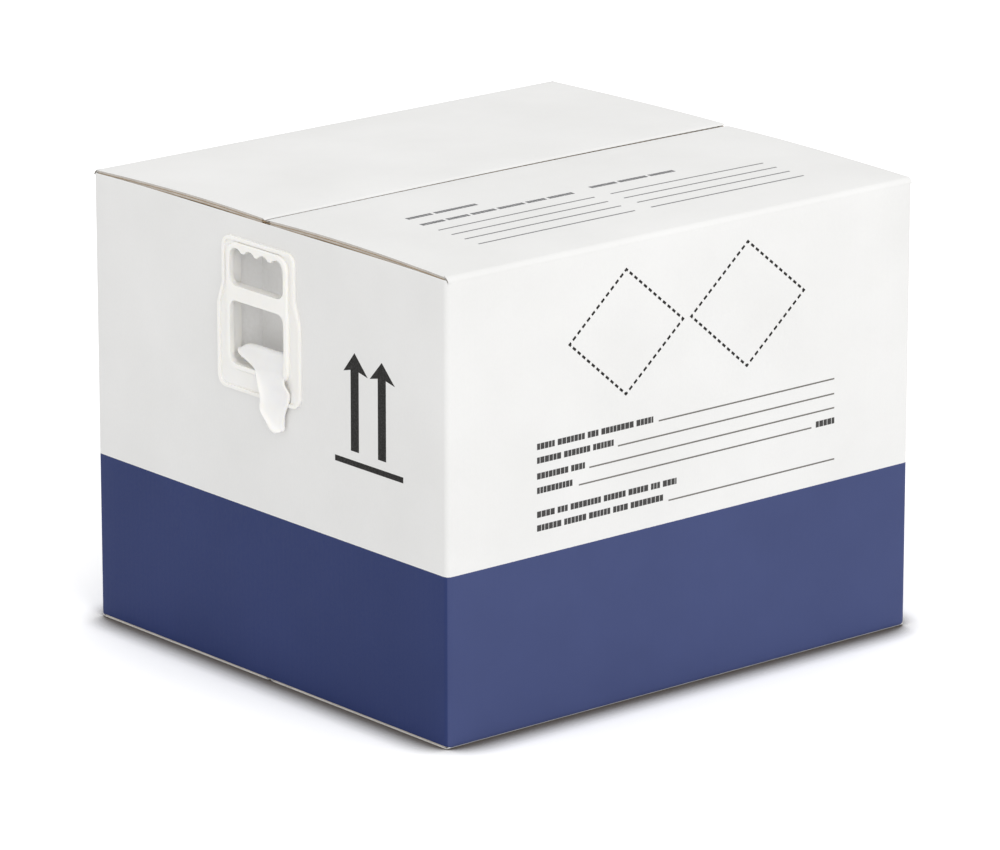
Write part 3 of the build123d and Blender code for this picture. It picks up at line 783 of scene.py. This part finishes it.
form = {
    "seed": 4,
    "proud": 0.10 * mm,  # the ink's thickness over the liner
    "sunk": 0.15 * mm,
    "diamonds": (((0.2522, 0.8032), (0.3713, 0.9361), (0.4930, 0.8036), (0.3713, 0.6704)),
                 ((0.5103, 0.8050), (0.6324, 0.9390), (0.7571, 0.8062), (0.6324, 0.6702))),
    "dashes": 12,  # from one corner of a diamond to the next
    "dashShare": 0.60,
    "dashWidth": 2.5 * mm,
    "ruleWidth": 1.5 * mm,
    "barHeight": 6.2 * mm,
    "barWidth": (3.2 * mm, 5.2 * mm),  # one of the blocks that stand for a word
    "firstWord": (4, 8),  # blocks in a row's first word, and in the others
    "nextWord": (3, 8),
    "barGap": 0.7 * mm,
    "wordGap": 3.8 * mm,
    "lastWord": 24.0 * mm,  # no break between words so near a row's end
    "run": 20.0 * mm,  # a line's longest straight piece
    # rows of blocks on the front: start, end and height, as shares of the face
    "rows": ((0.1847, 0.4299, 0.6022), (0.1847, 0.3455, 0.5728), (0.1848, 0.2849, 0.5391),
             (0.1848, 0.2622, 0.5084), (0.1849, 0.4809, 0.4572), (0.1849, 0.4546, 0.4279),
             (0.7875, 0.8297, 0.5042)),
    "rules": ((0.4417, 0.8278, 0.5962), (0.3547, 0.8279, 0.5633), (0.2942, 0.8284, 0.5320),
              (0.2723, 0.7777, 0.4998), (0.4639, 0.8302, 0.4184)),
    # the same on the top's front flap, with the share of the way to the back
    "topRows": ((0.1648, 0.3099, 0.3250), (0.1585, 0.4783, 0.2772), (0.5232, 0.7055, 0.2870)),
    "topRules": ((0.160, 0.489), (0.524, 0.859)),
    "topRuleAt": (0.2320, 0.1962, 0.1612, 0.1240),
    "topRuleWidth": 2.0 * mm,
    # this-way-up arrows on the left end: tip, head and shaft
    "arrows": (((0.2498, 0.781), (0.2802, 0.2139), (0.2608, 0.2387)),
               ((0.1755, 0.779), (0.2083, 0.140), (0.1864, 0.1645))),
    "headLow": 0.737,
    "waist": 0.006,  # how far the head narrows above its lower corners
    "shaftLow": 0.571,
    "arrowBase": (0.3049, 0.1181, 0.545, 5.8 * mm),
}


def wallSwell(along, halfSpan, z):
    # how far a wall bows out at one place
    r = carton["creaseRadius"]
    share = (along + halfSpan - r) / (2 * halfSpan - 2 * r)
    return carton["swell"] * bow(share) * bow(z / carton["height"])


def onFront(x, z, out):
    # a place on the front wall's bowed outside
    return Vector((x, -carton["halfDepth"] - wallSwell(x, carton["halfLength"], z) - out, z))


def onLeft(y, z, out):
    return Vector((-carton["halfLength"] - wallSwell(y, carton["halfDepth"], z) - out, y, z))


def onTop(x, y, out):
    # a place on the top's front outer flap
    c = carton
    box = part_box("top_outer_flap_front")
    reach = box[1].y + c["halfDepth"] + flap["grow"]
    depth = flapDepth(x, y + c["halfDepth"], box[1].x - box[0].x, reach, flap)
    return Vector((x, y, c["height"] + crown(x, y) - depth + out))


def inkPatch(heap, place, outline):
    # one closed mark with straight sides, its corners given on the face
    outer = [place(a, b, form["proud"]) for a, b in outline]
    inner = [place(a, b, -form["sunk"]) for a, b in outline]
    heap.tube([outer, inner])


def inkLine(heap, place, start, end, width):
    # one straight line, cut into short runs so that it follows the board
    a, b = Vector(start), Vector(end)
    along = (b - a).normalized()
    side = Vector((-along.y, along.x)) * width / 2
    high, low = form["proud"], -form["sunk"]
    section = ((side, high), (-side, high), (-side, low), (side, low))
    spots = [a + along * d for d in spaced(0.0, (b - a).length, form["run"])]
    heap.tube([[place(*(spot + edge), out) for edge, out in section] for spot in spots])


def inkCorner(heap, place, corner, before, after, arm, width):
    # one dash bent round a corner
    spot = Vector(corner)
    a, b = (Vector(before) - spot).normalized(), (Vector(after) - spot).normalized()
    point = -(a + b).normalized()
    mitre = point * width / 2 / math.sin(a.angle(b) / 2)
    ends = []
    for way in (a, b):
        side = Vector((-way.y, way.x)) * width / 2
        if side.dot(point) < 0:
            side = -side
        ends.append((spot + way * arm + side, spot + way * arm - side))
    (a, b), (c, d) = ends
    inkPatch(heap, place, (spot + mitre, c, d, spot - mitre, b, a))


def inkWords(heap, place, start, end, chance):
    # a row of plain blocks in place of words
    low, high = start.y - form["barHeight"] / 2, start.y + form["barHeight"] / 2
    x, end = start.x, end.x
    left = chance.randint(*form["firstWord"])
    while x < end - form["barWidth"][0] / 2:
        width = min(chance.uniform(*form["barWidth"]), end - x)
        inkPatch(heap, place, ((x, low), (x + width, low), (x + width, high), (x, high)))
        left -= 1
        isBreak = left <= 0 and end - x > form["lastWord"]
        x += width + form["wordGap" if isBreak else "barGap"]
        if isBreak:
            left = chance.randint(*form["nextWord"])


def makePrinting():
    c = carton
    length, depth, height = 2 * c["halfLength"], 2 * c["halfDepth"], c["height"]
    chance = random.Random(form["seed"])

    def frontSpot(u, v):
        return Vector((u * length - c["halfLength"], v * height))

    labels, words, rules = Heap(), Heap(), Heap()
    for corners in form["diamonds"]:
        spots = [frontSpot(*corner) for corner in corners]
        for before, a, b in zip(spots[-1:] + spots[:-1], spots, spots[1:] + spots[:1]):
            pitch = (b - a) / form["dashes"]
            arm = pitch.length * form["dashShare"] / 2
            inkCorner(labels, onFront, a, before, b, arm, form["dashWidth"])
            for i in range(1, form["dashes"]):
                start = a + pitch * (i - form["dashShare"] / 2)
                inkLine(labels, onFront, start, start + pitch * form["dashShare"], form["dashWidth"])
    for u0, u1, v in form["rows"]:
        inkWords(words, onFront, frontSpot(u0, v), frontSpot(u1, v), chance)
    for u0, u1, v in form["rules"]:
        inkLine(rules, onFront, frontSpot(u0, v), frontSpot(u1, v), form["ruleWidth"])
    labels.piece("labelOutlines", [blackInk])
    words.piece("frontWordBars", [darkGreyInk])
    rules.piece("frontRules", [ruleInk])

    def topSpot(u, v):
        return Vector((u * length - c["halfLength"], v * depth - c["halfDepth"]))

    words, rules = Heap(), Heap()
    for u0, u1, v in form["topRows"]:
        inkWords(words, onTop, topSpot(u0, v), topSpot(u1, v), chance)
    for u0, u1 in form["topRules"]:
        for v in form["topRuleAt"]:
            inkLine(rules, onTop, topSpot(u0, v), topSpot(u1, v), form["topRuleWidth"])
    words.piece("topWordBars", [greyInk], "flap_front")
    rules.piece("topRules", [greyInk], "flap_front")

    def leftSpot(t, v):
        return t * depth - c["halfDepth"], v * height

    arrows = Heap()
    for tip, head, shaft in form["arrows"]:
        low, foot = form["headLow"], form["shaftLow"]
        waist = low + form["waist"]
        outline = (tip, (head[1], low), (shaft[1], waist), (shaft[1], foot),
                   (shaft[0], foot), (shaft[0], waist), (head[0], low))
        inkPatch(arrows, onLeft, [leftSpot(*spot) for spot in outline])
    t0, t1, v, thick = form["arrowBase"]
    inkLine(arrows, onLeft, leftSpot(t0, v), leftSpot(t1, v), thick)
    arrows.piece("upArrows", [blackInk])


makePrinting()
print("printing made")


tongue = {
    "thickness": 1.1 * mm,
    "edgeBead": 1.5 * mm,  # extra thickness along the free edges
    "beadWidth": 2.2 * mm,
    "bendRadius": 22.0 * mm,
    "startAngle": 50.0,  # degrees below level at the sill
    "length": 56.0 * mm,
    # the part that stands in the window above the sill
    "lean": 4.8 * mm,  # how far in from the sill's edge it stands
    "belly": 1.6 * mm,  # how much nearer its middle is
    "rise": 19.0 * mm,
    "cornerDrop": (0.50, 11.0 * mm, 1.5),  # share lost at the hollow edge, how wide, and how round
    "crest": 3.2 * mm,
    "inside": 16.0 * mm,  # from the crest down to where it is fixed
    # down from the sill, and both edges across from the middle towards the front, in mm
    "outline": ((-45, -37, 41), (-32, -37, 41), (-24, -36.5, 41), (-18, -33, 41), (-13, -26, 41),
                (-8, -16.5, 41), (-4, -8.5, 41.3), (0, -2.5, 42.5), (5, 4, 45), (10, 9.5, 47.5),
                (16, 13.8, 49), (22, 15.8, 48.6), (28, 16, 46.6), (33, 15.2, 43.8), (37, 15.6, 42),
                (41, 18, 41), (46, 22.5, 40.6), (50, 26.5, 40.4), (53, 30, 39.8), (54.8, 33, 38.8),
                (56, 36, 37)),
    "tilt": (1.6 * mm, 6.2 * mm),  # hollow edge outwards and the other edge in, against the flange
    "tiltPower": 0.6,  # below 1, so that the film falls away fastest beside the hollow edge
    "tiltStart": 18.0 * mm,  # the film below the sill turns over this length
    "curl": (1.0 * mm, 9.0 * mm, 1.2),  # how far the hollow edge curls outwards, how wide, and how low
    "ripple": (0.35 * mm, 5.2 * mm, 9),  # height, spread across, and turn down the film in radians
    "hang": 1.5,  # above 1, so that the ripples grow fastest near the tip
    "rowStep": 1.7 * mm,
    "tip": (6.0 * mm, 8, 1.5),  # length with closer rows, how many, and how they crowd together
    "beadStart": 8.0 * mm,  # from the sill's edge, where the edge bead has grown up both ways
    "columns": 26,
    "bendStart": (1.8 * mm, 3.0 * mm),  # in and up from the hinge
    "bendEnd": (-6.2 * mm, -3.0 * mm),
}


def curved(a, slopeA, b, slopeB, t):
    # smooth way from a to b that sets off and arrives along the two slopes
    return (
        a * (2 * t**3 - 3 * t**2 + 1) + slopeA * (t**3 - 2 * t**2 + t)
        + b * (3 * t**2 - 2 * t**3) + slopeB * (t**3 - t**2)
    )


def curvedAlong(a, slopeA, b, slopeB, t):
    # direction of the same way
    return (a - b) * (6 * t**2 - 6 * t) + slopeA * (3 * t**2 - 4 * t + 1) + slopeB * (3 * t**2 - 2 * t)


def tongueMiddle(s, hinge, d, lean, rise):
    # place and outward normal in x and z, at a distance down along the film from the sill
    r, start = s["bendRadius"], math.radians(s["startAngle"])
    bend = math.pi / 2 - start
    centre = hinge + Vector((r * math.sin(start), -r * math.cos(start)))
    if d >= r * bend:
        return centre + Vector((-r, -(d - r * bend))), Vector((-1.0, 0.0))
    if d >= 0:
        out = atAngle(math.pi - bend + d / r)
        return centre + out * r, out
    # above the sill, the same share of the way along the film whatever its height
    crest, foot = s["crest"], hinge + Vector((lean, rise))
    length = (foot - hinge).length
    up = d / -filmAbove(s, s["lean"], s["rise"]) * filmAbove(s, lean, rise)
    if up < length:
        # from the hinge in over the sill, then upright
        way = hinge, atAngle(start) * length, foot, Vector((0.0, length)), up / length
        along = curvedAlong(*way).normalized()
        return curved(*way), Vector((-along.y, along.x))
    up -= length
    top = foot + Vector((crest, 0.0))
    if up < math.pi * crest:
        out = atAngle(math.pi - up / crest)
        return top + out * crest, out
    return top + Vector((crest, -(up - math.pi * crest))), Vector((1.0, 0.0))


def filmAbove(s, lean, rise):
    # length of the film above the sill, with its inside part as much shorter as its rise
    return math.hypot(lean, rise) + math.pi * s["crest"] + s["inside"] + rise - s["rise"]


def tongueEdges(s, down):
    # both edges at one height, smoothly through the outline's places
    table = s["outline"]
    last = max(i for i in range(len(table) - 1) if table[i][0] <= down or i == 0)
    before, a, b, after = (table[min(max(last + i, 0), len(table) - 1)] for i in (-1, 0, 1, 2))
    step = b[0] - a[0]
    edges = []
    for k in (1, 2):
        slopeA = (b[k] - before[k]) / (b[0] - before[0]) * step
        slopeB = (after[k] - a[k]) / (after[0] - a[0]) * step
        edges.append(curved(a[k], slopeA, b[k], slopeB, within((down - a[0]) / step)) * mm)
    return edges


def tongueLift(s, below, across, low, k):
    # how far the film stands out from its plain curve
    share = below / s["length"]
    curl, curlWidth, curlLow = s["curl"]
    lift = curl * math.exp(-((across - low) / curlWidth) ** 2) * bow(curlLow * share)
    size, spread, twist = s["ripple"]
    lift += size * share ** s["hang"] * math.sin(across / spread + twist * share)
    outwards, inwards = s["tilt"]
    return lift + eased(below / s["tiltStart"]) * (outwards - (outwards + inwards) * k ** s["tiltPower"])


def makeTongue(side, turn):
    # film at the left end, seen from outside: across grows towards the front, down grows along it
    s = tongue
    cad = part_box("handle_tongue_left")
    middleY = (cad[0].y + cad[1].y) / 2
    hinge = Vector((cad[1].x, cad[1].z))
    drop, dropReach, roundness = s["cornerDrop"]
    tip, tipRows, crowding = s["tip"]
    places = spaced(-filmAbove(s, s["lean"], s["rise"]), s["length"] - tip, s["rowStep"], (0.0,))
    places += [s["length"] - tip * (1 - i / tipRows) ** crowding for i in range(1, tipRows + 1)]
    outer, inner = [], []
    for d in places:
        low, high = tongueEdges(s, d / mm)
        rowA, rowB = [], []
        for j in range(s["columns"] + 1):
            k = 0.5 - 0.5 * math.cos(math.pi * j / s["columns"])  # closer together at both edges
            across = low + (high - low) * k
            lean = s["lean"] - s["belly"] * bow(k)
            rise = s["rise"] * (1 - drop * math.exp(-((across - low) / dropReach) ** roundness))
            spot, out = tongueMiddle(s, hinge, d, lean, rise)
            spot += out * tongueLift(s, max(d, 0.0), across, low, k)
            near = min(across - low, high - across, s["length"] - d)
            bead = math.exp(-(near / s["beadWidth"]) ** 2) * min(1.0, abs(d) / s["beadStart"])
            thick = s["thickness"] + s["edgeBead"] * bead
            for row, offset in ((rowA, thick / 2), (rowB, -thick / 2)):
                p = spot + out * offset
                row.append(Vector((p.x * turn, (middleY - across) * turn, p.y)))
        outer.append(rowA)
        inner.append(rowB)
    heap = Heap()
    heap.shell(outer, inner)
    piece = heap.piece(f"handleTongue{side.title()}", [tonguePlastic], None, smoothAngle=60)
    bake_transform(piece)
    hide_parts(f"handle_tongue_{side}")


makeTongue("left", 1)
makeTongue("right", -1)
print("handle tongues made")


pad = {
    "puff": 0.46,  # share of the pad's thickness that the quilting takes
    "cell": 33.5 * mm,  # between the quilting lines
    "steps": 48,
    "corner": 6.0 * mm,
    "crush": 2.2 * mm,  # width of the pinched rim
    "rim": 0.18,  # share of the thickness left at the rim
}


def makePad():
    # quilted fibre pad under the tube rack
    s = pad
    low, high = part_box("absorbent_pad")
    half = (high.x - low.x) / 2
    middle, thick = (low.z + high.z) / 2, (high.z - low.z) / 2
    top, bottom = [], []
    for i in range(s["steps"] + 1):
        rowA, rowB = [], []
        for j in range(s["steps"] + 1):
            x = half * (2 * i / s["steps"] - 1)
            y = half * (2 * j / s["steps"] - 1)
            # square with rounded corners, by drawing the corner points in
            far = max(abs(x), abs(y)) / half
            flat = half - s["corner"]
            ex, ey = max(0.0, abs(x) - flat), max(0.0, abs(y) - flat)
            if ex and ey:
                scale = max(ex, ey) / math.hypot(ex, ey)
                x, y = math.copysign(flat + ex * scale, x), math.copysign(flat + ey * scale, y)
            loose = min(1.0, half * (1 - far) / s["crush"])
            quilt = abs(math.sin(math.pi * x / s["cell"]) * math.sin(math.pi * y / s["cell"])) ** 0.5
            tall = thick * between((s["rim"], 1), math.sqrt(loose)) * between((1 - s["puff"], 1), quilt)
            rowA.append(Vector((x, y, middle + tall)))
            rowB.append(Vector((x, y, middle - tall)))
        top.append(rowA)
        bottom.append(rowB)
    heap = Heap()
    heap.shell(top, bottom)
    piece = heap.piece("quiltedPad", [padFibre], smoothAngle=80)
    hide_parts("absorbent_pad")


makePad()
print("pad made")


rounding = {
    "joined": 0.005 * mm,  # points nearer than this are joined before the rounding
    "segments": 2,
    "sharp": 32,  # degrees from which an edge is rounded
}
# finish and width of the edge rounding for each kind of carried-over node
nodeLook = {
    "glue_lap": (insideLiner, 0.0),
    "handle_frame": (handlePlastic, 0.55 * mm),
    "handle_back_plate": (handlePlastic, 0.3 * mm),
    "foam_base": (mouldedFoam, 1.5 * mm),
    "foam_lid": (mouldedFoam, 1.5 * mm),
    "support": (supportLiner, 0.0),
    "container": (containerPlastic, 0.5 * mm),
    "container_lid": (lidPlastic, 0.5 * mm),
    "container_gasket": (gasketRubber, 0.3 * mm),
    "latch": (latchPlastic, 0.5 * mm),
    "tube_rack": (rackFoam, 0.5 * mm),
    "specimen_tubes": (tubePlastic, 0.3 * mm),
    "tube_caps": (capPlastic, 0.4 * mm),
}


def dress(node, finish, width):
    for slot in node.material_slots:
        slot.material = finish
    if width:
        weld = node.modifiers.new("joined", "WELD")
        weld.merge_threshold = rounding["joined"]
        bevel = node.modifiers.new("softEdges", "BEVEL")
        bevel.width = width
        bevel.segments = rounding["segments"]
        bevel.limit_method = "ANGLE"
        bevel.angle_limit = math.radians(rounding["sharp"])


def dressNodes(nodes):
    # a kind of node is one node, or one on each side of the box that has it
    for kind, (finish, width) in nodeLook.items():
        for side in ("", "_left", "_right", "_front", "_back"):
            if kind + side in nodes:
                dress(nodes[kind + side], finish, width)


dressNodes(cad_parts)
print("carried-over pieces finished")
